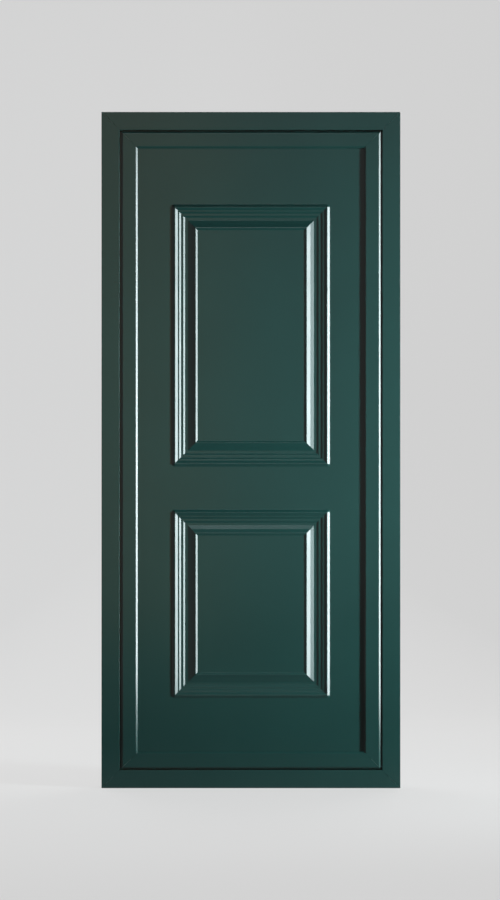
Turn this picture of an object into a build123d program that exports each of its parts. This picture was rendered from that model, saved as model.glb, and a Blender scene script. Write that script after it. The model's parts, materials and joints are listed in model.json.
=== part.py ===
from build123d import *
import os
from math import cos, radians, sin

# A panelled door leaf in a four-sided frame, both of hollow powder-coated aluminium bars with mitred corners.
# The leaf holds an insulated panel whose two metal skins are pressed into raised and fielded panels.
# Seen from the front the hinges are on the left, and the leaf opens away from the viewer.
# X runs to the right, Y away from the viewer and Z up. The origin is the middle of the frame's underside.

# Whole door, in millimetres
leaf_width = 860.0
leaf_height = 2110.0
door_depth = 60.0
edge_gap = 5.0
slide_clearance = 0.3
running_clearance = 0.05
seat_clearance = 0.2
cut_overrun = 2.0

# Frame bars
frame_face = 60.0
frame_wall = 2.0
frame_edge_chamfer = 1.0
mitre_gap = 0.2
frame_lip_depth = 22.0
rebate_overlap = 20.0
frame_cleat_arm = 100.0
frame_cleat_wall = 5.0

# Seal in the frame's rebate
seal_gap = 4.0
seal_width = 10.0
seal_foot_width = 4.0
seal_foot_depth = 3.0
seal_chamfer = 1.5

# Wall fixings through the jambs, with an access hole and a cap on the rebate side
fixing_hole_radius = 4.25
access_hole_radius = 8.0
cap_flange_radius = 10.0
cap_flange_thickness = 1.5
cap_plug_depth = 6.0
fixing_end_distance = 246.4
fixing_below_lever = 243.6
fixing_above_lever = 383.6

# Leaf bars
stile_face = 55.0
leaf_wall = 2.0
flange_edge_wall = 5.0
panel_side_wall = 2.5
panel_cover = 22.0
outer_bevel_width = 6.0
outer_bevel_depth = 3.5
inner_bevel_width = 6.0
inner_bevel_depth = 4.2
leaf_cleat_arm = 90.0
leaf_cleat_wall = 4.0

# Panel, its gaskets, packers and beads
panel_recess = 10.0
panel_play = 2.0
skin_thickness = 1.5
gasket_thickness = 2.5
gasket_width = 14.0
gasket_setback = 3.0
packer_length = 100.0
packer_depth = 30.0
packer_place_share = 0.36
bead_tongue_depth = 1.2
bead_tongue_thickness = 2.0
bead_tongue_inset = 3.5

# Pressed mouldings of the panel skins
moulding_side_margin = 167.5
lower_moulding_rise = 232.0
lower_moulding_height = 626.0
moulding_spacing = 142.0
upper_moulding_drop = 240.0
moulding_band = 86.0
moulding_relief = 9.5
# Section of a moulding from its outer edge inwards, as shares of the band and of the relief.
# Its groove goes deeper than the flat of the skin, so the core has channels there.
groove_share = 0.47
channel_start_share = 0.3
channel_end_share = 0.79
rise_section_shares = ((0, 0), (0.015, 0.06), (0.1, 0.56), (0.115, 0.62))
step_section_shares = (
    (0.115, 0.62),
    (0.135, 0.59),
    (0.24, 0.147),
    (0.285, 0.147),
    (0.36, -0.17),
    (0.444, -0.17),
    (0.515, -groove_share),
    (0.617, -groove_share),
    (0.9, 0.42),
    (0.925, 0.44),
    (1, 0.123),
)

# Hinges
hinge_count = 3
hinge_end_distance = 230.0
hinge_height = 100.0
middle_knuckle_height = 44.0
knuckle_radius = 10.0
barrel_standoff = 1.0
pin_radius = 5.0
pin_head_height = 5.0
pin_head_fillet = 2.5
washer_thickness = 1.0
wing_thickness = 5.0
wing_width = 26.0
wing_setback = 10.5
wing_corner_radius = 4.0
wing_screw_spacing = 36.0

# Screws with countersunk heads and hexagon sockets
hinge_screw_radius = 2.5
hinge_screw_head_radius = 5.0
hinge_screw_length = 14.0
small_screw_radius = 2.0
small_screw_head_radius = 3.8
small_screw_length = 12.0
socket_radius_share = 0.5
socket_depth_share = 0.8

# Lock in the lock stile
lever_height = 1050.0
turn_drop = 85.0
case_wall = 1.5
case_below = 14.0
case_above = 48.0
faceplate_width = 22.0
faceplate_thickness = 3.0
faceplate_end = 20.0
bolt_thickness = 11.0
latch_throw = 12.0
latch_height = 20.0
latch_tip = 3.0
latch_tail_height = 8.0
latch_tail_thickness = 6.0
latch_lug_thickness = 4.0
follower_half_turn = 20.0
follower_hub_radius = 10.0
follower_tip_radius = 3.0
follower_arm_width = 3.0
follower_lug_room = 3.0
journal_radius = 7.5
bolt_throw = 18.0
bolt_height = 30.0
bolt_heel = 2.5
bolt_setback = 0.5
cam_half_turn = 45.0
cam_hub_radius = 7.0
cam_tip_radius = 3.0
cam_arm_width = 4.0
cam_notch_clearance = 0.6
case_end_room = 1.0
latch_spring_thickness = 0.6
latch_spring_width = 8.0
latch_spring_base = 8.0

# Strike plate on the lock jamb
strike_thickness = 2.0
strike_width = 24.0
strike_end = 18.0
strike_clearance = 1.5
strike_lip_height = 34.0
strike_lip_bend = 3.0

# Lever handle and thumb-turn on the inner side
rose_width = 34.0
rose_depth = 8.0
rose_corner_radius = 8.0
rose_edge_fillet = 2.0
rose_screw_margin = 9.0
lever_rose_height = 70.0
turn_rose_height = 56.0
lever_hub_radius = 8.0
lever_collar_radius = 12.0
lever_collar_length = 6.0
lever_projection = 54.0
lever_length = 124.0
lever_bend_radius = 16.0
lever_thickness = 11.0
lever_width = 18.0
lever_round = 5.0
lever_end_fillet = 3.0
lever_socket_depth = 22.0
spindle_size = 8.0
turn_hub_radius = 6.0
turn_collar_radius = 11.0
turn_collar_length = 4.0
turn_grip_length = 34.0
turn_grip_thickness = 7.0
turn_grip_depth = 18.0
turn_grip_fillet = 3.0
turn_tail_size = 5.0
wall_hole_clearance = 1.5

# Levels from front to back
front = -door_depth / 2
back = door_depth / 2
frame_lip_back = front + frame_lip_depth
flange_front = frame_lip_back + seal_gap
skin_face = front + panel_recess
lip_back = skin_face - gasket_thickness

# Outlines seen from the front: the frame, and the leaf over its rear flange
frame_width = leaf_width + 2 * (edge_gap + frame_face)
frame_height = leaf_height + 2 * (edge_gap + frame_face)
frame_tube = frame_face - rebate_overlap
seal_middle = frame_face - (rebate_overlap - edge_gap) / 2
flange_width = leaf_width + 2 * rebate_overlap
flange_height = leaf_height + 2 * rebate_overlap
flange_base = frame_tube + edge_gap
leaf_base = frame_face + edge_gap
lip_edge = rebate_overlap + stile_face
tube_side = lip_edge - panel_cover
panel_inset = tube_side + panel_play
panel_width = flange_width - 2 * panel_inset
panel_height = flange_height - 2 * panel_inset
panel_base = flange_base + panel_inset

# Outlines of the two mouldings, from the leaf's visible edges
moulding_width = leaf_width - 2 * moulding_side_margin
lower_base = leaf_base + lower_moulding_rise
upper_base = lower_base + lower_moulding_height + moulding_spacing
upper_moulding_height = leaf_base + leaf_height - upper_moulding_drop - upper_base
mouldings = ((lower_moulding_height, lower_base), (upper_moulding_height, upper_base))

# Hinge axis, over the gap on the left
hinge_x = frame_tube + edge_gap / 2 - frame_width / 2
hinge_y = back + barrel_standoff + knuckle_radius

# Places in the lock
lock_edge = flange_width / 2
lock_y = (flange_front + back) / 2
case_inner = bolt_thickness + 2 * slide_clearance
case_half = case_inner / 2 + case_wall
case_front = lock_edge - faceplate_thickness
case_end = lock_edge - tube_side + panel_side_wall + seat_clearance
turn_height = lever_height - turn_drop
case_bottom = turn_height - case_below
case_top = lever_height + case_above
follower_reach = latch_throw / (2 * sin(radians(follower_half_turn)))
cam_reach = bolt_throw / (2 * sin(radians(cam_half_turn)))
notch_half = cam_tip_radius + cam_notch_clearance
lock_x = case_end + case_wall + case_end_room + bolt_heel + notch_half + bolt_throw / 2
lug_face = lock_x + latch_throw / 2 - follower_tip_radius - slide_clearance
latch_back = lug_face + 2 * follower_tip_radius + 4 * slide_clearance
tail_bottom = lever_height + follower_reach + follower_tip_radius + 3 * slide_clearance
latch_bottom = tail_bottom + (latch_tail_height - latch_height) / 2
bolt_bottom = turn_height + cam_reach * cos(radians(cam_half_turn)) + 2 * slide_clearance
rose_face = back + rose_depth

pieces = {}


def outline(*points):
    """Flat face inside a closed line through the points."""
    return make_face(Polyline(*points, close=True))


def rectangle(x0, y0, x1, y1):
    return Pos((x0 + x1) / 2, (y0 + y1) / 2) * Rectangle(x1 - x0, y1 - y0)


def block(x0, y0, z0, x1, y1, z1):
    """Box between two opposite corners."""
    return Pos((x0 + x1) / 2, (y0 + y1) / 2, (z0 + z1) / 2) * Box(abs(x1 - x0), abs(y1 - y0), abs(z1 - z0))


def rod(radius, length):
    return Cylinder(radius, length, align=(Align.CENTER, Align.CENTER, Align.MIN))


def rod_y(radius, y0, y1, x, z):
    return Pos(x, y0, z) * Rot(-90, 0, 0) * rod(radius, y1 - y0)


def rod_z(radius, z0, z1, x, y):
    return Pos(x, y, z0) * rod(radius, z1 - z0)


def square_bar(size, y0, y1, x, z):
    return block(x - size / 2, y0, z - size / 2, x + size / 2, y1, z + size / 2)


def corner_places(width, height, base):
    """The corners of an upright rectangle, each turned so that X points along or into it."""
    half = width / 2
    top = base + height
    return [
        Pos(-half, 0, base),
        Pos(-half, 0, top) * Rot(0, 90, 0),
        Pos(half, 0, top) * Rot(0, 180, 0),
        Pos(half, 0, base) * Rot(0, 270, 0),
    ]


def mitred_bar(section, length, gap):
    """Bar along Z with mitred ends, each cut back by the gap. X is the distance from its outer edge."""
    bar = extrude(section, amount=length)
    bar = split(bar, bisect_by=Plane(origin=(0, 0, gap), z_dir=(-1, 0, 1)), keep=Keep.TOP)
    return split(bar, bisect_by=Plane(origin=(0, 0, length - gap), z_dir=(-1, 0, -1)), keep=Keep.TOP)


def ring(section, width, height, base, gap=0):
    """Four mitred bars round an upright rectangle: hinge side, top, lock side and bottom."""
    lengths = (height, width, height, width)
    places = corner_places(width, height, base)
    return [place * mitred_bar(section, length, gap) for place, length in zip(places, lengths)]


def corner_cleats(offset, arm_thickness, arm, wall, y0, y1, width, height, base):
    """Angle brackets inside the corners of a ring of hollow bars, with hollow arms."""
    far = offset + arm
    inner = offset + arm_thickness
    angle = outline(
        (offset, -offset), (far, -offset), (far, -inner), (inner, -inner), (inner, -far), (offset, -far)
    )
    windows = [
        rectangle(inner, wall - inner, far - wall, -offset - wall),
        rectangle(offset + wall, wall - far, inner - wall, -inner),
    ]
    cleat = Pos(0, y0, 0) * extrude(Plane.XZ * Rot(180, 0, 0) * (angle - windows), amount=y1 - y0)
    return [place * cleat for place in corner_places(width, height, base)]


def screw_body(shank_radius, head_radius, length):
    """Countersunk screw shape pointing down, with the face of its head at Z = 0."""
    neck = shank_radius - head_radius
    half = outline((0, 0), (head_radius, 0), (shank_radius, neck), (shank_radius, -length), (0, -length))
    return revolve(Plane.XZ * half, axis=Axis.Z)


def screw(shank_radius, head_radius, length):
    socket = RegularPolygon(head_radius * socket_radius_share, 6)
    depth = (head_radius - shank_radius) * socket_depth_share
    return screw_body(shank_radius, head_radius, length) - extrude(socket, amount=-depth)


def screw_hole(shank_radius, head_radius, length):
    """Countersunk hole for the same screw."""
    clear = seat_clearance / 2
    return screw_body(shank_radius + clear, head_radius + clear, length + cut_overrun)


hinge_screw_sizes = (hinge_screw_radius, hinge_screw_head_radius, hinge_screw_length)
small_screw_sizes = (small_screw_radius, small_screw_head_radius, small_screw_length)


def frame_section():
    body = outline(
        (frame_edge_chamfer, front),
        (frame_face - frame_edge_chamfer, front),
        (frame_face, front + frame_edge_chamfer),
        (frame_face, frame_lip_back),
        (frame_tube, frame_lip_back),
        (frame_tube, back),
        (0, back),
        (0, front + frame_edge_chamfer),
    )
    tube = rectangle(frame_wall, front + frame_wall, frame_tube - frame_wall, back - frame_wall)
    groove_floor = frame_lip_back - seal_foot_depth
    lip = rectangle(frame_tube, front + frame_wall, frame_face - frame_wall, groove_floor - frame_wall)
    groove = rectangle(
        seal_middle - seal_foot_width / 2, groove_floor, seal_middle + seal_foot_width / 2, frame_lip_back
    )
    return body - tube - lip - groove


frame_hinge_jamb, frame_head, frame_lock_jamb, frame_sill = ring(
    frame_section(), frame_width, frame_height, 0, mitre_gap
)

pieces["frame_corner_cleats"] = Compound(
    corner_cleats(
        frame_wall + seat_clearance,
        frame_tube - 2 * (frame_wall + seat_clearance),
        frame_cleat_arm,
        frame_cleat_wall,
        front + frame_wall + seat_clearance,
        back - frame_wall - seat_clearance,
        frame_width,
        frame_height,
        0,
    )
)


def seal_section():
    foot = rectangle(
        seal_middle - seal_foot_width / 2,
        frame_lip_back - seal_foot_depth,
        seal_middle + seal_foot_width / 2,
        frame_lip_back,
    )
    crown = flange_front - slide_clearance
    half = seal_width / 2
    lip = outline(
        (seal_middle - half, frame_lip_back),
        (seal_middle + half, frame_lip_back),
        (seal_middle + half - seal_chamfer, crown),
        (seal_middle - half + seal_chamfer, crown),
    )
    return foot + lip


pieces["frame_seal"] = Compound(ring(seal_section(), frame_width, frame_height, 0))

# Wall fixings in both jambs, near the ends and clear of the lock
fixing_y = (frame_lip_back + back) / 2
fixing_heights = (
    fixing_end_distance,
    lever_height - fixing_below_lever,
    lever_height + fixing_above_lever,
    frame_height - fixing_end_distance,
)
caps = []
fixing_cuts = {-1: [], 1: []}
for side in (-1, 1):
    outer = side * frame_width / 2
    inner = outer - side * frame_tube
    outward = Rot(0, 90 * side, 0)
    cap_plug = rod(access_hole_radius - seat_clearance, cap_plug_depth)
    cap = cap_plug + Pos(0, 0, -cap_flange_thickness) * rod(cap_flange_radius, cap_flange_thickness)
    for height in fixing_heights:
        hole = Pos(outer - side * 2 * frame_wall, fixing_y, height) * outward
        fixing_cuts[side].append(hole * rod(fixing_hole_radius, 2 * frame_wall + cut_overrun))
        access = Pos(inner - side * cut_overrun, fixing_y, height) * outward
        fixing_cuts[side].append(access * rod(access_hole_radius, frame_wall + 2 * cut_overrun))
        caps.append(Pos(inner, fixing_y, height) * outward * cap)
pieces["fixing_caps"] = Compound(caps)


def leaf_section():
    body = outline(
        (rebate_overlap, front + outer_bevel_depth),
        (rebate_overlap + outer_bevel_width, front),
        (lip_edge - inner_bevel_width, front),
        (lip_edge, front + inner_bevel_depth),
        (lip_edge, lip_back),
        (tube_side, lip_back),
        (tube_side, back),
        (0, back),
        (0, flange_front),
        (rebate_overlap, flange_front),
    )
    web = rebate_overlap + leaf_wall
    tube = outline(
        (web, front + outer_bevel_depth + leaf_wall),
        (web + outer_bevel_width, front + leaf_wall),
        (tube_side - panel_side_wall, front + leaf_wall),
        (tube_side - panel_side_wall, back - leaf_wall),
        (web, back - leaf_wall),
    )
    flange = rectangle(flange_edge_wall, flange_front + leaf_wall, rebate_overlap, back - leaf_wall)
    return body - tube - flange - bead_tongue(seat_clearance / 2)


def bead_tongue(clearance):
    """Tongue of a bead that clips into the side of the leaf's bars."""
    middle = back - bead_tongue_inset
    half = bead_tongue_thickness / 2 + clearance
    return rectangle(tube_side - bead_tongue_depth - clearance, middle - half, tube_side, middle + half)


leaf_hinge_stile, leaf_top_rail, leaf_lock_stile, leaf_bottom_rail = ring(
    leaf_section(), flange_width, flange_height, flange_base, mitre_gap
)

leaf_cleat_offset = rebate_overlap + leaf_wall + seat_clearance
pieces["leaf_corner_cleats"] = Compound(
    corner_cleats(
        leaf_cleat_offset,
        tube_side - panel_side_wall - seat_clearance - leaf_cleat_offset,
        leaf_cleat_arm,
        leaf_cleat_wall,
        front + outer_bevel_depth + leaf_wall + seat_clearance,
        back - leaf_wall - seat_clearance,
        flange_width,
        flange_height,
        flange_base,
    )
)

bead_section = bead_tongue(0) + outline(
    (tube_side, -lip_back),
    (lip_edge, -lip_back),
    (lip_edge, back - inner_bevel_depth),
    (lip_edge - inner_bevel_width, back),
    (tube_side, back),
)
beads = ring(bead_section, flange_width, flange_height, flange_base, mitre_gap)
for name, bead in zip(("hinge_side", "top", "lock_side", "bottom"), beads):
    pieces["bead_" + name] = bead

gasket_edge = lip_edge - gasket_setback
front_gasket = rectangle(gasket_edge - gasket_width, lip_back, gasket_edge, skin_face)
pieces["panel_front_gasket"] = Compound(ring(front_gasket, flange_width, flange_height, flange_base))
back_gasket = rectangle(gasket_edge - gasket_width, -skin_face, gasket_edge, -lip_back)
pieces["panel_back_gasket"] = Compound(ring(back_gasket, flange_width, flange_height, flange_base))


def sheet_section(shares):
    """Section of the pressed sheet along part of a moulding, from the moulding's outer edge inwards."""
    outside = [(u * moulding_band, skin_face - v * moulding_relief) for u, v in shares]
    inside = [(x, y + skin_thickness) for x, y in outside]
    return outline(*outside, *reversed(inside))


def pressed_panel(height, base):
    """Raised and fielded panel in the front skin: round-cornered rise, stepped moulding, bevel and field."""
    corner = rise_section_shares[-1][0] * moulding_band
    rise = sheet_section(rise_section_shares)
    steps = Pos(-corner, 0) * sheet_section(step_section_shares)
    inner_width = moulding_width - 2 * corner
    inner_height = height - 2 * corner
    bars = ring(steps, inner_width, inner_height, base + corner)
    lengths = (inner_height, inner_width, inner_height, inner_width)
    for place, length in zip(corner_places(moulding_width, height, base), lengths):
        bars.append(place * Pos(0, 0, corner) * extrude(rise, amount=length))
        turned = revolve(Pos(-corner, 0) * rise, axis=-Axis.Y, revolution_arc=90)
        bars.append(place * Pos(corner, 0, corner) * turned)
    field_face = skin_face - step_section_shares[-1][1] * moulding_relief
    field_back = field_face + skin_thickness
    half = moulding_width / 2 - moulding_band
    field_top = base + height - moulding_band
    bars.append(block(-half, field_face, base + moulding_band, half, field_back, field_top))
    return corner, bars


def front_skin():
    half = panel_width / 2
    sheet = block(-half, skin_face, panel_base, half, skin_face + skin_thickness, panel_base + panel_height)
    pressings = []
    for height, base in mouldings:
        corner, bars = pressed_panel(height, base)
        window = Pos(0, base + height / 2) * RectangleRounded(moulding_width, height, corner)
        sheet -= Pos(0, skin_face + skin_thickness, 0) * extrude(Plane.XZ * window, amount=skin_thickness)
        pressings += bars
    return sheet.fuse(*pressings).clean()


panel_front_skin = front_skin()
pieces["panel_front_skin"] = panel_front_skin
pieces["panel_back_skin"] = Rot(0, 0, 180) * panel_front_skin
core_face = skin_face + skin_thickness


def core_channel(height, base):
    """Ring cut from the front of the core, with room for the groove of one moulding."""
    start = channel_start_share * moulding_band
    end = channel_end_share * moulding_band
    floor = core_face + groove_share * moulding_relief + seat_clearance
    half = moulding_width / 2
    y0 = core_face - cut_overrun
    outer = block(start - half, y0, base + start, half - start, floor, base + height - start)
    return outer - block(end - half, y0, base + end, half - end, floor, base + height - end)


panel_core = block(
    -panel_width / 2, core_face, panel_base, panel_width / 2, -core_face, panel_base + panel_height
)
for height, base in mouldings:
    channel = core_channel(height, base)
    panel_core = panel_core - channel - Rot(0, 0, 180) * channel
pieces["panel_core"] = panel_core

# Packers that centre the panel between the bars
packers = []
panel_top = panel_base + panel_height
panel_middle = panel_base + panel_height / 2
for side in (-1, 1):
    lying = Pos(side * packer_place_share * panel_width, 0, 0) * Box(packer_length, packer_depth, panel_play)
    packers.append(Pos(0, 0, panel_base - panel_play / 2) * lying)
    packers.append(Pos(0, 0, panel_top + panel_play / 2) * lying)
    edge = side * (panel_width + panel_play) / 2
    for end in (-1, 1):
        z = panel_middle + end * packer_place_share * panel_height
        packers.append(Pos(edge, 0, z) * Box(panel_play, packer_depth, packer_length))
pieces["panel_packers"] = Compound(packers)


def hinge_wing(side, spans, bore_radius):
    """Plate with its knuckles, about the middle of the pin. The side is -1 at the frame, 1 at the leaf."""
    y0 = back - hinge_y
    y1 = y0 + wing_thickness
    half = hinge_height / 2
    plate = block(side * wing_setback, y0, -half, side * (wing_setback + wing_width), y1, half)
    corners = plate.edges().filter_by(Axis.Y).sort_by(Axis.X)[::side][-2:]
    wing = fillet(corners, wing_corner_radius)
    for z0, z1 in spans:
        wing += block(0, y0, z0, side * wing_setback, y1, z1)
        wing += rod_z(knuckle_radius, z0, z1, 0, 0)
    wing -= rod_z(bore_radius, -hinge_height, hinge_height, 0, 0)
    for place in wing_screw_places(side):
        wing -= place * screw_hole(*hinge_screw_sizes)
    return wing


def wing_screw_places(side):
    x = side * (wing_setback + wing_width / 2)
    y = back - hinge_y + wing_thickness
    return [Pos(x, y, step * wing_screw_spacing) * Rot(-90, 0, 0) for step in (-1, 0, 1)]


middle_half = middle_knuckle_height / 2
outer_spans = (
    (-hinge_height / 2, -middle_half - washer_thickness),
    (middle_half + washer_thickness, hinge_height / 2),
)
frame_wing = hinge_wing(-1, outer_spans, pin_radius)
leaf_wing = hinge_wing(1, ((-middle_half, middle_half),), pin_radius + running_clearance)
pin_head = rod(knuckle_radius, pin_head_height)
pin_head = fillet(pin_head.edges().sort_by(Axis.Z)[-1], pin_head_fillet)
pin = rod_z(pin_radius, -hinge_height / 2, hinge_height / 2, 0, 0) + Pos(0, 0, hinge_height / 2) * pin_head
washer = rod(knuckle_radius, washer_thickness) - rod(pin_radius + running_clearance, washer_thickness)
washers = [Pos(0, 0, -middle_half - washer_thickness) * washer, Pos(0, 0, middle_half) * washer]

hinge_low = leaf_base + hinge_end_distance
hinge_step = (leaf_height - 2 * hinge_end_distance) / (hinge_count - 1)
wing_screws = {-1: [], 1: []}
for index, name in enumerate(("bottom", "middle", "top")):
    place = Pos(hinge_x, hinge_y, hinge_low + index * hinge_step)
    pieces[f"hinge_{name}_frame_wing"] = place * frame_wing
    pieces[f"hinge_{name}_leaf_wing"] = place * leaf_wing
    pieces[f"hinge_{name}_pin"] = place * pin
    pieces[f"hinge_{name}_washers"] = Compound([place * one for one in washers])
    for side in (-1, 1):
        wing_screws[side] += [place * spot for spot in wing_screw_places(side)]
for side, name in ((-1, "hinge_frame_screws"), (1, "hinge_leaf_screws")):
    pieces[name] = Compound([spot * screw(*hinge_screw_sizes) for spot in wing_screws[side]])

hinge_holes = {
    side: [spot * screw_hole(*hinge_screw_sizes) for spot in spots] for side, spots in wing_screws.items()
}
pieces["frame_hinge_jamb"] = frame_hinge_jamb - fixing_cuts[-1] - hinge_holes[-1]
pieces["leaf_hinge_stile"] = leaf_hinge_stile - hinge_holes[1]
pieces["frame_head"] = frame_head
pieces["frame_sill"] = frame_sill
pieces["leaf_top_rail"] = leaf_top_rail
pieces["leaf_bottom_rail"] = leaf_bottom_rail

# Latch bolt, with its slope on the side that meets the strike as the leaf closes
latch_top = latch_bottom + latch_height
bolt_half = bolt_thickness / 2
latch_nose = outline(
    (latch_back, lock_y - bolt_half),
    (lock_edge, lock_y - bolt_half),
    (lock_edge + latch_throw, lock_y + bolt_half - latch_tip),
    (lock_edge + latch_throw, lock_y + bolt_half),
    (latch_back, lock_y + bolt_half),
)
tail_half = latch_tail_thickness / 2
lug_back = lug_face - latch_lug_thickness
lug_bottom = lever_height + follower_hub_radius + follower_lug_room
latch_bolt = Pos(0, 0, latch_bottom) * extrude(latch_nose, amount=latch_height)
latch_bolt += block(
    lug_back, lock_y - tail_half, tail_bottom, latch_back, lock_y + tail_half, tail_bottom + latch_tail_height
)
latch_bolt += block(lug_back, lock_y - tail_half, lug_bottom, lug_face, lock_y + tail_half, tail_bottom)
pieces["latch_bolt"] = latch_bolt

# Dead bolt, drawn back, with a notch for the cam's tip
bolt_top = bolt_bottom + bolt_height
notch_x = lock_x - bolt_throw / 2
notch_top = turn_height + cam_reach + notch_half
bolt_back = notch_x - notch_half - bolt_heel
bolt_front = lock_edge - bolt_setback
dead_bolt = block(bolt_back, lock_y - bolt_half, bolt_bottom, bolt_front, lock_y + bolt_half, bolt_top)
dead_bolt -= block(
    notch_x - notch_half,
    lock_y - bolt_thickness,
    bolt_bottom - cut_overrun,
    notch_x + notch_half,
    lock_y + bolt_thickness,
    notch_top,
)
pieces["dead_bolt"] = dead_bolt


def crank(hub_radius, reach, tip_radius, arm_width, lean, bore_size, x, z):
    """Hub in the lock case with an arm that leans from straight up, journals and a square bore."""
    half = case_inner / 2 - slide_clearance
    arm = Pos(0, reach / 2) * Rectangle(arm_width, reach) + Pos(0, reach) * Circle(tip_radius)
    flat = Circle(hub_radius) + Rot(0, 0, lean) * arm
    body = Pos(x, lock_y + half, z) * extrude(Plane.XZ * flat, amount=2 * half)
    body += rod_y(journal_radius, lock_y - case_half, lock_y + case_half, x, z)
    return body - square_bar(bore_size, lock_y - door_depth, lock_y + door_depth, x, z)


pieces["lock_follower"] = crank(
    follower_hub_radius,
    follower_reach,
    follower_tip_radius,
    follower_arm_width,
    -follower_half_turn,
    spindle_size,
    lock_x,
    lever_height,
)
pieces["thumbturn_cam"] = crank(
    cam_hub_radius,
    cam_reach,
    cam_tip_radius,
    cam_arm_width,
    cam_half_turn,
    turn_tail_size,
    lock_x,
    turn_height,
)


def bolt_windows(x0, x1, clearance):
    """Openings for the latch and the dead bolt."""
    half = bolt_half + clearance
    spans = ((latch_bottom, latch_top), (bolt_bottom, bolt_top))
    return [block(x0, lock_y - half, z0 - clearance, x1, lock_y + half, z1 + clearance) for z0, z1 in spans]


journal_holes = [
    rod_y(journal_radius + running_clearance, lock_y - door_depth, lock_y + door_depth, lock_x, z)
    for z in (lever_height, turn_height)
]
case_seam = lock_y - case_inner / 2
lock_case = block(case_end, case_seam, case_bottom, case_front, lock_y + case_half, case_top)
lock_case -= block(
    case_end + case_wall,
    case_seam,
    case_bottom + case_wall,
    case_front - case_wall,
    lock_y + case_inner / 2,
    case_top - case_wall,
)
pieces["lock_case"] = (
    lock_case - bolt_windows(case_front - case_wall, case_front, slide_clearance) - journal_holes
)
lock_cover = block(case_end, lock_y - case_half, case_bottom, case_front, case_seam, case_top)
pieces["lock_cover"] = lock_cover - journal_holes

# Latch spring, a bent flat strip from the case's end wall to the back of the latch
spring_x = case_end + case_wall
spring_top = case_top - case_wall - seat_clearance
spring_bend = spring_top - latch_spring_base
spring_tip = tail_bottom + latch_tail_height + 2 * slide_clearance
spring_strip = outline(
    (spring_x, spring_top),
    (spring_x, spring_bend),
    (latch_back, spring_tip),
    (latch_back, spring_tip + 2 * latch_spring_thickness),
    (spring_x + latch_spring_thickness, spring_bend + 2 * latch_spring_thickness),
    (spring_x + latch_spring_thickness, spring_top),
)
pieces["latch_spring"] = Pos(0, lock_y + latch_spring_width / 2, 0) * extrude(
    Plane.XZ * spring_strip, amount=latch_spring_width
)

# Faceplate, let into the leaf's edge
faceplate_bottom = case_bottom - faceplate_end
faceplate_top = case_top + faceplate_end


def faceplate_block(x1, clearance):
    half = faceplate_width / 2 + clearance
    return block(
        case_front, lock_y - half, faceplate_bottom - clearance, x1, lock_y + half, faceplate_top + clearance
    )


faceplate_screws = [
    Pos(lock_edge, lock_y, z) * Rot(0, 90, 0)
    for z in (faceplate_bottom + faceplate_end / 2, faceplate_top - faceplate_end / 2)
]
small_holes = [spot * screw_hole(*small_screw_sizes) for spot in faceplate_screws]
pieces["lock_faceplate"] = (
    faceplate_block(lock_edge, 0) - bolt_windows(case_front, lock_edge, slide_clearance) - small_holes
)
pieces["lock_faceplate_screws"] = Compound([spot * screw(*small_screw_sizes) for spot in faceplate_screws])


def rose(height, bore_radius, z):
    """Plate round a spindle on the inner face of the lock stile, and the places of its two screws."""
    flat = RectangleRounded(rose_width, height, rose_corner_radius)
    body = extrude(Plane.XZ * flat, amount=-rose_depth)
    body = fillet(body.faces().sort_by(Axis.Y)[-1].edges(), rose_edge_fillet)
    reach = height / 2 - rose_screw_margin
    spots = [Pos(lock_x, rose_face, z + side * reach) * Rot(-90, 0, 0) for side in (-1, 1)]
    body = Pos(lock_x, back, z) * body
    body -= rod_y(bore_radius, back - cut_overrun, rose_face + cut_overrun, lock_x, z)
    return body - [spot * screw_hole(*small_screw_sizes) for spot in spots], spots


lever_bore = lever_hub_radius + running_clearance
turn_bore = turn_hub_radius + running_clearance
pieces["lever_rose"], lever_rose_spots = rose(lever_rose_height, lever_bore, lever_height)
pieces["thumbturn_rose"], turn_rose_spots = rose(turn_rose_height, turn_bore, turn_height)
rose_spots = lever_rose_spots + turn_rose_spots
pieces["rose_screws"] = Compound([spot * screw(*small_screw_sizes) for spot in rose_spots])

lock_pocket = block(
    case_end - seat_clearance,
    lock_y - case_half - seat_clearance,
    case_bottom - seat_clearance,
    lock_edge + cut_overrun,
    lock_y + case_half + seat_clearance,
    case_top + seat_clearance,
)
spindle_hole = spindle_size + wall_hole_clearance
pieces["leaf_lock_stile"] = (
    leaf_lock_stile
    - lock_pocket
    - faceplate_block(lock_edge + cut_overrun, seat_clearance)
    - small_holes
    - [spot * screw_hole(*small_screw_sizes) for spot in rose_spots]
    - [rod_y(spindle_hole, lock_y, back + cut_overrun, lock_x, z) for z in (lever_height, turn_height)]
)

# Lever handle, its square spindle and the thumb-turn
spindle_start = lock_y - case_half
spindle_end = rose_face + lever_socket_depth
pieces["lever_spindle"] = square_bar(spindle_size, spindle_start, spindle_end, lock_x, lever_height)


def lever_handle():
    collar = rose_face + slide_clearance
    grip_y = back + lever_projection
    route = FilletPolyline(
        (lock_x, collar, lever_height),
        (lock_x, grip_y, lever_height),
        (lock_x - lever_length, grip_y, lever_height),
        radius=lever_bend_radius,
    )
    start = Plane(origin=(lock_x, collar, lever_height), x_dir=(1, 0, 0), z_dir=(0, 1, 0))
    grip = sweep(start * RectangleRounded(lever_thickness, lever_width, lever_round), path=route)
    grip = fillet(grip.faces().sort_by(Axis.X)[0].edges(), lever_end_fillet)
    grip += rod_y(lever_collar_radius, collar, collar + lever_collar_length, lock_x, lever_height)
    grip += rod_y(lever_hub_radius, back + slide_clearance, collar, lock_x, lever_height)
    return grip - square_bar(spindle_size, back, spindle_end, lock_x, lever_height)


pieces["lever_handle"] = lever_handle()


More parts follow.
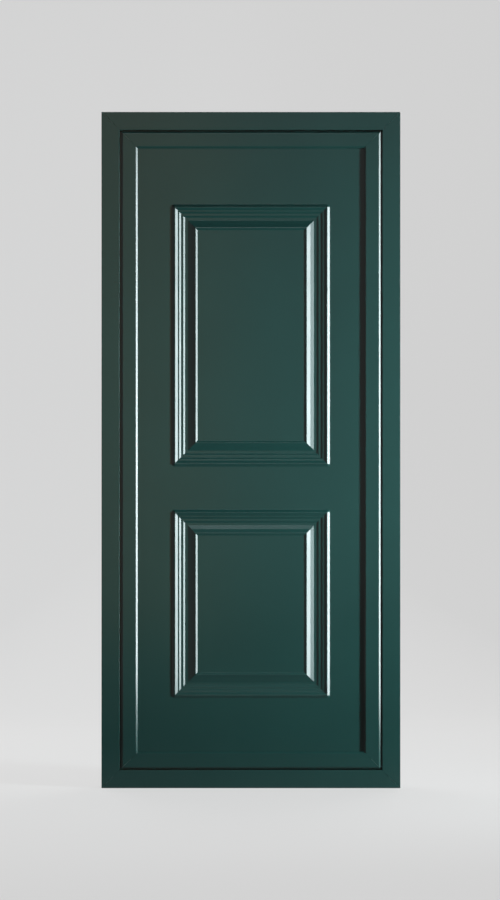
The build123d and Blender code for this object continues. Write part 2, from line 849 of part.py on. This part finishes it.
def thumb_turn():
    collar = rose_face + slide_clearance
    grip_start = collar + turn_collar_length
    grip_end = grip_start + turn_grip_depth
    half = turn_grip_thickness / 2
    reach = turn_grip_length / 2
    grip = block(-half, grip_start, -reach, half, grip_end, reach)
    grip = fillet(grip.edges().filter_by(Axis.X), turn_grip_fillet)
    turn = Pos(lock_x, 0, turn_height) * grip
    turn += rod_y(turn_collar_radius, collar, grip_start, lock_x, turn_height)
    turn += rod_y(turn_hub_radius, back + slide_clearance, collar, lock_x, turn_height)
    return turn + square_bar(turn_tail_size, lock_y - case_half, collar, lock_x, turn_height)


pieces["thumb_turn"] = thumb_turn()

# Strike plate on the lock jamb, with a lip that leads the latch in
strike_face = lock_edge + edge_gap - strike_thickness
strike_back = lock_edge + edge_gap
strike_bottom = bolt_bottom - strike_clearance - strike_end
strike_top = latch_top + strike_clearance + strike_end
strike_half = strike_width / 2
strike_near = lock_y - strike_half
strike_far = lock_y + strike_half
latch_middle = (latch_bottom + latch_top) / 2
strike_lip = outline(
    (strike_face, strike_far),
    (strike_back, strike_far),
    (strike_back, back),
    (strike_back + strike_lip_bend, back + strike_lip_bend),
    (strike_back + strike_lip_bend - strike_thickness, back + strike_lip_bend + strike_thickness),
    (strike_face, back + strike_thickness / 2),
)
strike = block(strike_face, strike_near, strike_bottom, strike_back, strike_far, strike_top)
strike += Pos(0, 0, latch_middle - strike_lip_height / 2) * extrude(strike_lip, amount=strike_lip_height)
strike_spots = [
    Pos(strike_face, lock_y, z) * Rot(0, -90, 0)
    for z in (strike_bottom + strike_end / 2, strike_top - strike_end / 2)
]
strike_holes = [spot * screw_hole(*small_screw_sizes) for spot in strike_spots]
pieces["strike_plate"] = strike - bolt_windows(strike_face, strike_back, strike_clearance) - strike_holes
pieces["strike_screws"] = Compound([spot * screw(*small_screw_sizes) for spot in strike_spots])
pieces["frame_lock_jamb"] = (
    frame_lock_jamb
    - fixing_cuts[1]
    - strike_holes
    - bolt_windows(strike_back, strike_back + frame_wall, strike_clearance)
)

os.makedirs("parts", exist_ok=True)
for name, shape in pieces.items():
    export_step(shape, f"parts/{name}.step")
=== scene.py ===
import json
import math

import bmesh
import bpy
from mathutils import Matrix, Vector


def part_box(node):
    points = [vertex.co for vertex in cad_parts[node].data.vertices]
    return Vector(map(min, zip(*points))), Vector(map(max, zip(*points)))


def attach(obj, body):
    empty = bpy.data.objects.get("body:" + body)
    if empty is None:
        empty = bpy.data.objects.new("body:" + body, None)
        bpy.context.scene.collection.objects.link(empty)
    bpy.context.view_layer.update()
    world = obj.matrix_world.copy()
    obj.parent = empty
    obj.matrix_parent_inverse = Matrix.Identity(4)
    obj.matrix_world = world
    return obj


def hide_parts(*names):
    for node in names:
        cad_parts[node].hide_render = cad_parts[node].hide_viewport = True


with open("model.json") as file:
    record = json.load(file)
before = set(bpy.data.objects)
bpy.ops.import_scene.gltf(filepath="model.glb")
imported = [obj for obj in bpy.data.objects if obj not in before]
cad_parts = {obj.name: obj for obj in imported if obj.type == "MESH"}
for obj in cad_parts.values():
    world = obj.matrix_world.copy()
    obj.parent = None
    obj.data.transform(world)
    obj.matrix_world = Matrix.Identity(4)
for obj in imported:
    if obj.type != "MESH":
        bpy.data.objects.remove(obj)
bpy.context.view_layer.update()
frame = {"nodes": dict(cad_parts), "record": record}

quarter_turn = math.pi / 2
half_turn = math.pi
white = (1, 1, 1, 1)

# Middle range of a pattern, which is spread between two colours or two roughnesses
pattern_low = 0.3
pattern_high = 0.7

# Rays that look for the edges round a point
edge_samples = 8


class Surface:
    """A procedural material round one Principled shader.

    Its patterns lie in the piece's own space, in metres.
    """

    def __init__(self, name, colour, **constants):
        self.material = bpy.data.materials.new(name)
        self.material.use_nodes = True
        self.nodes = self.material.node_tree.nodes
        self.links = self.material.node_tree.links
        self.shader = self.nodes["Principled BSDF"]
        self.shader.inputs["Base Color"].default_value = (*colour, 1)
        for words, value in constants.items():
            self.shader.inputs[words].default_value = value
        self.colour = colour
        self.place = self.nodes.new("ShaderNodeTexCoord").outputs["Object"]

    def specular(self, level):
        self.shader.inputs["Specular IOR Level"].default_value = level

    def stretched(self, scales):
        mapping = self.nodes.new("ShaderNodeMapping")
        mapping.inputs["Scale"].default_value = scales
        self.links.new(self.place, mapping.inputs["Vector"])
        return mapping.outputs["Vector"]

    def noise(self, grain, detail, scales=None):
        """Cloudy pattern with features about one grain across."""
        node = self.nodes.new("ShaderNodeTexNoise")
        node.inputs["Scale"].default_value = 1 / grain
        node.inputs["Detail"].default_value = detail
        self.links.new(self.stretched(scales) if scales else self.place, node.inputs["Vector"])
        return node.outputs["Fac"]

    def cells(self, grain):
        node = self.nodes.new("ShaderNodeTexVoronoi")
        node.inputs["Scale"].default_value = 1 / grain
        self.links.new(self.place, node.inputs["Vector"])
        return node.outputs["Distance"]

    def spread(self, pattern, low, high):
        """The pattern's middle range, spread between two values."""
        node = self.nodes.new("ShaderNodeMapRange")
        node.inputs["From Min"].default_value = pattern_low
        node.inputs["From Max"].default_value = pattern_high
        node.inputs["To Min"].default_value = low
        node.inputs["To Max"].default_value = high
        self.links.new(pattern, node.inputs["Value"])
        return node.outputs["Result"]

    def shades(self, pattern, dark, light):
        """The surface's colour, from a dark share of it to a light share of it."""
        node = self.nodes.new("ShaderNodeMix")
        node.data_type = "RGBA"
        colour_in = [socket for socket in node.inputs if socket.type == "RGBA"]
        for socket, share in zip(colour_in, (dark, light)):
            socket.default_value = (*(channel * share for channel in self.colour), 1)
        self.links.new(self.spread(pattern, low=0, high=1), node.inputs["Factor"])
        colour_out = [socket for socket in node.outputs if socket.type == "RGBA"]
        self.links.new(colour_out[0], self.shader.inputs["Base Color"])

    def roughness(self, pattern, low, high):
        self.links.new(self.spread(pattern, low, high), self.shader.inputs["Roughness"])

    def bump(self, pattern, height, strength, edge=0):
        """Fine relief from the pattern, over edges that look rounded to the given radius."""
        node = self.nodes.new("ShaderNodeBump")
        if edge:
            rounding = self.nodes.new("ShaderNodeBevel")
            rounding.samples = edge_samples
            rounding.inputs["Radius"].default_value = edge
            self.links.new(rounding.outputs["Normal"], node.inputs["Normal"])
        node.inputs["Distance"].default_value = height
        node.inputs["Strength"].default_value = strength
        self.links.new(pattern, node.inputs["Height"])
        self.links.new(node.outputs["Normal"], self.shader.inputs["Normal"])


def paint_surface():
    """Dark green satin powder coat, with the faint orange peel of a baked coat."""
    surface = Surface("green_paint", (0.0088, 0.0465, 0.0415), Roughness=0.3)
    surface.specular(level=0.75)
    drift_grain = 0.35
    gloss_grain = drift_grain / 3
    surface.shades(surface.noise(grain=drift_grain, detail=3), dark=0.94, light=1.06)
    surface.roughness(surface.noise(grain=gloss_grain, detail=2), low=0.15, high=0.18)
    surface.bump(surface.noise(grain=0.0035, detail=1), height=0.00003, strength=0.25, edge=0.001)
    return surface.material


def rubber_surface():
    surface = Surface("seal_rubber", (0.018, 0.018, 0.019), Roughness=0.65)
    surface.shades(surface.noise(grain=0.02, detail=2), dark=0.8, light=1.3)
    surface.roughness(surface.noise(grain=0.008, detail=2), low=0.55, high=0.75)
    surface.bump(surface.noise(grain=0.0012, detail=2), height=0.0001, strength=0.3)
    return surface.material


def plastic_surface(name, colour):
    surface = Surface(name, colour, Roughness=0.5)
    surface.shades(surface.noise(grain=0.015, detail=2), dark=0.92, light=1.06)
    surface.roughness(surface.noise(grain=0.01, detail=2), low=0.42, high=0.58)
    surface.bump(surface.noise(grain=0.0008, detail=1), height=0.00005, strength=0.25)
    return surface.material


def foam_surface():
    surface = Surface("core_foam", (0.72, 0.66, 0.48), Roughness=0.9)
    surface.shades(surface.noise(grain=0.006, detail=3), dark=0.85, light=1.08)
    surface.bump(surface.cells(grain=0.002), height=0.0008, strength=0.6)
    return surface.material


def metal_surface(name, colour, streak, smooth, rough):
    """Metal with fine streaks along one direction."""
    surface = Surface(name, colour, Metallic=1.0, Roughness=rough)
    surface.shades(surface.noise(grain=0.004, detail=2, scales=streak), dark=0.88, light=1.1)
    surface.roughness(surface.noise(grain=0.003, detail=2, scales=streak), low=smooth, high=rough)
    surface.bump(surface.noise(grain=0.0012, detail=2, scales=streak), height=0.00002, strength=0.2)
    return surface.material


black = (0.026, 0.026, 0.027)
off_white = (0.78, 0.78, 0.75)
light_grey = (0.62, 0.63, 0.64)
steel_grey = (0.56, 0.57, 0.58)
satin_grey = (0.52, 0.52, 0.51)
upright_streak = (1, 1, 0.06)
level_streak = (0.06, 1, 1)
even_streak = (1, 1, 1)

materials = {
    "green_paint": paint_surface(),
    "seal_rubber": rubber_surface(),
    "black_plastic": plastic_surface("black_plastic", black),
    "white_plastic": plastic_surface("white_plastic", off_white),
    "core_foam": foam_surface(),
    "bare_aluminium": metal_surface("bare_aluminium", light_grey, upright_streak, smooth=0.34, rough=0.46),
    "steel": metal_surface("steel", steel_grey, even_streak, smooth=0.28, rough=0.42),
    "satin_handle": metal_surface("satin_handle", satin_grey, level_streak, smooth=0.22, rough=0.34),
}

for subpart in frame["record"]["subparts"]:
    node = frame["nodes"][subpart["node"]]
    node.data.materials.clear()
    node.data.materials.append(materials[subpart["material_slot"]])

# Pressed sheets of the panel: each has two stepped mouldings, with the folds rounded as a press leaves them
moulding_half_width = 0.2625
moulding_reaches = ((0.297, 0.923), (1.065, 1.935))
corner_radius = 0.00989
mitre_radius = 0.0009
corner_steps = 8
corner_sides = ((1, 1), (-1, 1), (-1, -1), (1, -1))
fold_radius = 0.0022
fold_steps = 4
longest_fold_share = 0.45
sheet_thickness = 0.0015
sheet_face = -0.02
inward = -1
to_the_front = (0, -1, 0)
flat_margin = 0.006
moulding_band = 0.086
field_height = 0.00117

# Section of a moulding: how far in from its outline, and how far out from the flat sheet
moulding_section = (
    (-flat_margin, 0),
    (0, 0),
    (0.0013, 0.0006),
    (0.0086, 0.0053),
    (0.0099, 0.0059),
    (0.0116, 0.0056),
    (0.0206, 0.0014),
    (0.0245, 0.0014),
    (0.031, -0.0016),
    (0.0382, -0.0016),
    (0.0443, -0.00446),
    (0.0531, -0.00446),
    (0.0653, -0.0006),
    (0.0774, 0.004),
    (0.0795, 0.0042),
    (moulding_band, field_height),
    (moulding_band + flat_margin, field_height),
)


def rounded_line(points):
    """The line through the points, with each bend rounded."""
    line = [points[0]]
    for before, bend, after in zip(points, points[1:], points[2:]):
        coming = bend - before
        going = after - bend
        shorter = min(coming.length, going.length)
        reach = min(fold_radius * math.tan(coming.angle(going) / 2), longest_fold_share * shorter)
        start = bend - coming.normalized() * reach
        end = bend + going.normalized() * reach
        for step in range(fold_steps + 1):
            share = step / fold_steps
            line.append(start.lerp(bend, share).lerp(bend.lerp(end, share), share))
    line.append(points[-1])
    return line


def moulding_loop(mesh, low, high, inset, height):
    """Points once round a moulding, all at one inset from its outline."""
    radius = max(corner_radius - inset, mitre_radius)
    loop = []
    for corner, (side, upright) in enumerate(corner_sides):
        x = side * (moulding_half_width - inset - radius)
        z = high - inset - radius if upright > 0 else low + inset + radius
        for step in range(corner_steps + 1):
            angle = quarter_turn * (corner + step / corner_steps)
            place = (x + radius * math.cos(angle), sheet_face - height, z + radius * math.sin(angle))
            loop.append(mesh.verts.new(place))
    return loop


def loop_edges(mesh, loop):
    return [mesh.edges.new((loop[i - 1], loop[i])) for i in range(len(loop))]


def pressed_mesh(name, turn):
    """The outer face of one sheet, as wide and as high as the node that it stands for."""
    (left, _, bottom), (right, _, top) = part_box(name)
    mesh = bmesh.new()
    corners = ((left, bottom), (right, bottom), (right, top), (left, top))
    border = [mesh.verts.new((x, sheet_face, z)) for x, z in corners]
    edges = loop_edges(mesh, border)
    for low, high in moulding_reaches:
        outer = None
        for inset, height in rounded_line([Vector(point) for point in moulding_section]):
            inner = moulding_loop(mesh, low, high, inset, height)
            if outer:
                for i in range(len(inner)):
                    mesh.faces.new((outer[i - 1], outer[i], inner[i], inner[i - 1]))
            else:
                edges += loop_edges(mesh, inner)
            outer = inner
        mesh.faces.new(outer)
    flat = bmesh.ops.triangle_fill(mesh, edges=edges, use_beauty=True, normal=to_the_front)
    for piece in flat["geom"]:
        if isinstance(piece, bmesh.types.BMFace) and piece.normal.y > 0:
            piece.normal_flip()
    upright_turn = Matrix.Rotation(turn, 4, "Z")
    mesh.transform(upright_turn)
    data = bpy.data.meshes.new(name + "_pressed")
    mesh.to_mesh(data)
    mesh.free()
    data.shade_smooth()
    data.materials.append(materials["green_paint"])
    return data


def pressed_sheet(name, turn):
    """One sheet of the panel, turned about the upright axis to the face that it covers."""
    sheet = bpy.data.objects.new(name + "_pressed", pressed_mesh(name, turn))
    bpy.context.collection.objects.link(sheet)
    shell = sheet.modifiers.new("thickness", "SOLIDIFY")
    shell.thickness = sheet_thickness
    shell.offset = inward
    normals = sheet.modifiers.new("flat_faces", "WEIGHTED_NORMAL")
    normals.keep_sharp = True
    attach(sheet, "leaf")
    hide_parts(name)


pressed_sheet("panel_front_skin", turn=0)
pressed_sheet("panel_back_skin", turn=half_turn)


def studio_sweep():
    """Floor that curves up into a backdrop, and goes on flat behind it."""
    half_width = 40.0
    floor_front = -40.0
    floor_back = 40.0
    wall_start = 2.2
    cove_radius = 1.4
    wall_top = 6.0
    cove_steps = 24
    line = [(floor_front, 0.0), (wall_start, 0.0)]
    for step in range(1, cove_steps + 1):
        angle = quarter_turn * step / cove_steps
        line.append((wall_start + cove_radius * math.sin(angle), cove_radius * (1 - math.cos(angle))))
    line.append((wall_start + cove_radius, wall_top))
    points = [(x, y, z) for y, z in line for x in (-half_width, half_width)]
    faces = [(2 * i, 2 * i + 1, 2 * i + 3, 2 * i + 2) for i in range(len(line) - 1)]
    cove_edge = (2, 3)
    back_edge = (len(points) + 1, len(points))
    faces.append(cove_edge + back_edge)
    points += [(-half_width, floor_back, 0.0), (half_width, floor_back, 0.0)]
    mesh = bpy.data.meshes.new("studio_sweep")
    mesh.from_pydata(points, [], faces)
    mesh.shade_smooth()
    sweep = bpy.data.objects.new("studio_sweep", mesh)
    bpy.context.collection.objects.link(sweep)
    return sweep


def joined(tree, operation, first, second):
    """A sum, product or other result of two values, each a number or a socket."""
    node = tree.nodes.new("ShaderNodeMath")
    node.operation = operation
    for socket, value in zip(node.inputs, (first, second)):
        if isinstance(value, (int, float)):
            socket.default_value = value
        else:
            tree.links.new(value, socket)
    return node.outputs["Value"]


def background_share(tree, place, dim_from, pale_from, dim_share, pale_share):
    """How much of the pale background a ray sees.

    A view or a clear surface sees all of it. Gloss sees a share that grows from the front to the back.
    """
    rays = tree.nodes.new("ShaderNodeLightPath").outputs
    parts = tree.nodes.new("ShaderNodeSeparateXYZ")
    tree.links.new(place, parts.inputs["Vector"])
    gloss = tree.nodes.new("ShaderNodeMapRange")
    gloss.inputs["From Min"].default_value = dim_from
    gloss.inputs["From Max"].default_value = pale_from
    gloss.inputs["To Min"].default_value = dim_share
    gloss.inputs["To Max"].default_value = pale_share
    tree.links.new(parts.outputs["Y"], gloss.inputs["Value"])
    in_gloss = joined(tree, "MULTIPLY", rays["Is Glossy Ray"], gloss.outputs["Result"])
    direct = joined(tree, "MAXIMUM", rays["Is Camera Ray"], rays["Is Transmission Ray"])
    return joined(tree, "MAXIMUM", direct, in_gloss)


# The background has one paleness on the floor, on the backdrop and beyond them
background_pale = 0.6


def sweep_surface():
    """Matt pale floor and backdrop. The backdrop is clear when it is seen from behind."""
    surface = Surface("studio_pale", (0.12, 0.12, 0.119), Roughness=0.9)
    surface.specular(level=0.1)
    surface.shades(surface.noise(grain=1.5, detail=2), dark=0.985, light=1.015)
    tree = surface.material.node_tree
    gloss_shares = {"dim_from": -1.0, "pale_from": 0.6, "dim_share": 0.04, "pale_share": 0.3}
    share = background_share(tree, surface.place, **gloss_shares)
    glow = joined(tree, "MULTIPLY", share, background_pale)
    surface.shader.inputs["Emission Color"].default_value = white
    surface.links.new(glow, surface.shader.inputs["Emission Strength"])
    behind = surface.nodes.new("ShaderNodeNewGeometry").outputs["Backfacing"]
    clear = surface.nodes.new("ShaderNodeBsdfTransparent")
    mix = surface.nodes.new("ShaderNodeMixShader")
    mix_factor, from_the_front, from_behind = mix.inputs
    surface.links.new(behind, mix_factor)
    surface.links.new(surface.shader.outputs["BSDF"], from_the_front)
    surface.links.new(clear.outputs["BSDF"], from_behind)
    surface.links.new(mix.outputs["Shader"], surface.nodes["Material Output"].inputs["Surface"])
    return surface.material


sweep = studio_sweep()
sweep.data.materials.append(sweep_surface())


def softbox(name, place, size, power, colour):
    """Soft light that faces the door. Its size is its width and its height.

    Its place is its azimuth, distance and height. Azimuth 0 is straight in front, 90 is to the right.
    """
    azimuth, distance, height = place
    light = bpy.data.lights.new(name, "AREA")
    light.shape = "RECTANGLE"
    light.size, light.size_y = size
    light.energy = power
    light.color = colour
    box = bpy.data.objects.new(name, light)
    turn = math.radians(azimuth)
    box.location = (distance * math.sin(turn), -distance * math.cos(turn), height)
    aim = Vector((0, 0, height)) - box.location
    box.rotation_euler = aim.to_track_quat("-Z", "Y").to_euler()
    box.visible_camera = False
    bpy.context.collection.objects.link(box)
    return box


def gloss_card(name, place, size, power, colour):
    """Soft light that only shows in the gloss of a surface."""
    card = softbox(name, place, size, power, colour)
    card.visible_diffuse = False
    return card


cool_white = (0.9, 1.0, 1.03)
plain_white = (1.0, 1.0, 1.0)
warm_white = (1.0, 0.55, 0.1)
facing_down = (0, 0, 0)
facing_up = (half_turn, 0, 0)

# The key light throws the shadows on the front
key_spread = math.radians(80)
key = softbox("key", place=(67, 3.4, 1.1), size=(0.4, 1.6), power=63, colour=cool_white)
key.data.spread = key_spread
key.visible_glossy = False

# The strips draw the bright lines of the upright mouldings
strip_spread = math.radians(30)
strips = (
    gloss_card("front_strip", place=(44, 3.0, 1.25), size=(0.45, 2.5), power=1.9, colour=cool_white),
    gloss_card("side_strip", place=(67, 3.0, 1.25), size=(0.6, 2.5), power=2.7, colour=cool_white),
)
for strip in strips:
    strip.data.spread = strip_spread

# The cards give the flats, the slopes and the level mouldings their soft sheen
gloss_card("left_card", place=(-55, 3.0, 1.3), size=(2.4, 2.6), power=4.5, colour=plain_white)
gloss_card("back_card", place=(0, 9.6, 2.2), size=(4.6, 4.4), power=14, colour=plain_white)
gloss_card("warm_card", place=(-13, 6.5, 1.85), size=(2.7, 3.7), power=6, colour=warm_white)
gloss_card("high_card", place=(0, 9.0, 5.6), size=(3.0, 1.6), power=58, colour=cool_white)
low_card = gloss_card("low_card", place=(0, 5.6, 0.01), size=(4.6, 6.8), power=5.5, colour=plain_white)
low_card.rotation_euler = facing_up

# The other lights show the back, the left edge and the top
softbox("rear_left", place=(215, 3.2, 1.9), size=(2.0, 2.0), power=45, colour=plain_white)
softbox("rear_right", place=(150, 3.2, 1.9), size=(2.0, 2.0), power=45, colour=plain_white)
softbox("left_side", place=(-105, 3.2, 1.3), size=(1.4, 2.0), power=25, colour=plain_white)
overhead = softbox("overhead", place=(180, 0.9, 4.6), size=(2.4, 1.2), power=60, colour=plain_white)
overhead.rotation_euler = facing_down

world = bpy.data.worlds.new("studio_world")
world.use_nodes = True
sky = world.node_tree
sky_light = 0.05
sky_direction = sky.nodes.new("ShaderNodeTexCoord").outputs["Generated"]
sky_shares = {"dim_from": -0.2, "pale_from": 0.3, "dim_share": 0.0, "pale_share": 0.3}
sky_share = background_share(sky, sky_direction, **sky_shares)
sky_pale = joined(sky, "MULTIPLY", sky_share, background_pale - sky_light)
sky_strength = joined(sky, "ADD", sky_pale, sky_light)
sky.nodes["Background"].inputs["Color"].default_value = white
sky.links.new(sky_strength, sky.nodes["Background"].inputs["Strength"])
bpy.context.scene.world = world
bpy.context.scene.view_settings.view_transform = "Standard"

# The camera stands in front of the middle of the door
door_middle = 1.12
door_front = -0.03
camera_distance = 9.0
camera_side = -0.003
picture_height = 2.981
sensor_size = 36.0
camera = bpy.data.cameras.new("camera")
camera.sensor_width = sensor_size
camera.lens = sensor_size * camera_distance / picture_height
camera_stand = bpy.data.objects.new("camera", camera)
camera_stand.location = (camera_side, door_front - camera_distance, door_middle)
camera_stand.rotation_euler = (quarter_turn, 0, 0)
bpy.context.collection.objects.link(camera_stand)
bpy.context.scene.camera = camera_stand
